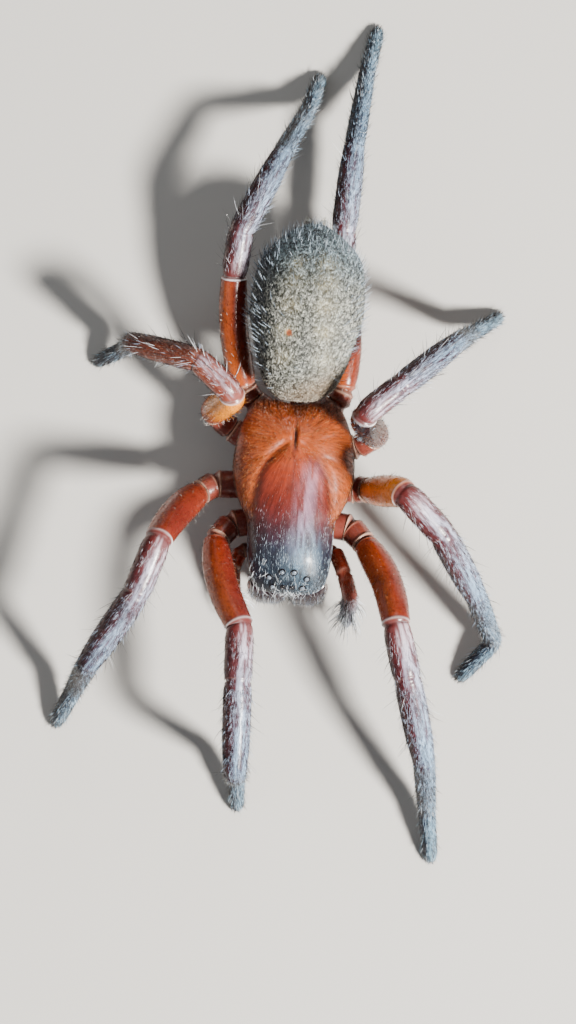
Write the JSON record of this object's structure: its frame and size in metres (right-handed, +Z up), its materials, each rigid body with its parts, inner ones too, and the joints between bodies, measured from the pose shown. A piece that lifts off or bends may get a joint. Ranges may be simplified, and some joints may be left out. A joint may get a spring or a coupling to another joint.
{
  "type": "sinocoelotes spider model",
  "caption": "Life-size still model of a ground-living sinocoelotes spider standing on its legs, orange shield, blue-black head, grey abdomen.",
  "frame": {"origin": "on the floor under the middle of the whole stance's bounding box", "axes": "+Z up, -Y the way the head points, +X the spider's own left"},
  "size_m": [0.016, 0.03, 0.0063],
  "materials": {
    "carapace": "smooth shell, orange behind, red-brown to blue-black on the head",
    "sternum": "smooth shell, reddish brown",
    "pedicel": "satin, brown",
    "abdomen": "matt, olive grey under short pale hair",
    "spinnerets": "matt, pale brown with short hair",
    "mouthparts": "satin, dark reddish brown",
    "chelicerae": "glossy, nearly black",
    "fangs": "polished, black-brown",
    "palps": "satin, red-brown with grey hair at the tip",
    "eyes": "polished lens, black",
    "coxae": "satin, dark brown with pale rims",
    "femora": "glossy, red-brown to orange",
    "tibiae": "satin, dark red-brown under silvery hair",
    "feet": "satin, slate grey under dense blue-grey hair"
  },
  "bodies": {
    "root": {"carapace": "carapace", "sternum": "sternum", "pedicel": "pedicel", "abdomen": "abdomen", "spinnerets": "spinnerets", "mouthparts": "mouthparts", "chelicera_left": "chelicerae", "fang_left": "fangs", "palp_left": "palps", "chelicera_right": "chelicerae", "fang_right": "fangs", "palp_right": "palps", "eye_anterior_median_left": "eyes", "eye_anterior_median_right": "eyes", "eye_anterior_lateral_left": "eyes", "eye_anterior_lateral_right": "eyes", "eye_posterior_median_left": "eyes", "eye_posterior_median_right": "eyes", "eye_posterior_lateral_left": "eyes", "eye_posterior_lateral_right": "eyes", "leg_1_left_coxa": "coxae", "leg_1_left_femur": "femora", "leg_1_left_tibia": "tibiae", "leg_1_left_foot": "feet", "leg_1_right_coxa": "coxae", "leg_1_right_femur": "femora", "leg_1_right_tibia": "tibiae", "leg_1_right_foot": "feet", "leg_2_left_coxa": "coxae", "leg_2_left_femur": "femora", "leg_2_left_tibia": "tibiae", "leg_2_left_foot": "feet", "leg_2_right_coxa": "coxae", "leg_2_right_femur": "femora", "leg_2_right_tibia": "tibiae", "leg_2_right_foot": "feet", "leg_3_left_coxa": "coxae", "leg_3_left_femur": "femora", "leg_3_left_tibia": "tibiae", "leg_3_left_foot": "feet", "leg_3_right_coxa": "coxae", "leg_3_right_femur": "femora", "leg_3_right_tibia": "tibiae", "leg_3_right_foot": "feet", "leg_4_left_coxa": "coxae", "leg_4_left_femur": "femora", "leg_4_left_tibia": "tibiae", "leg_4_left_foot": "feet", "leg_4_right_coxa": "coxae", "leg_4_right_femur": "femora", "leg_4_right_tibia": "tibiae", "leg_4_right_foot": "feet"}
  },
  "joints": []
}
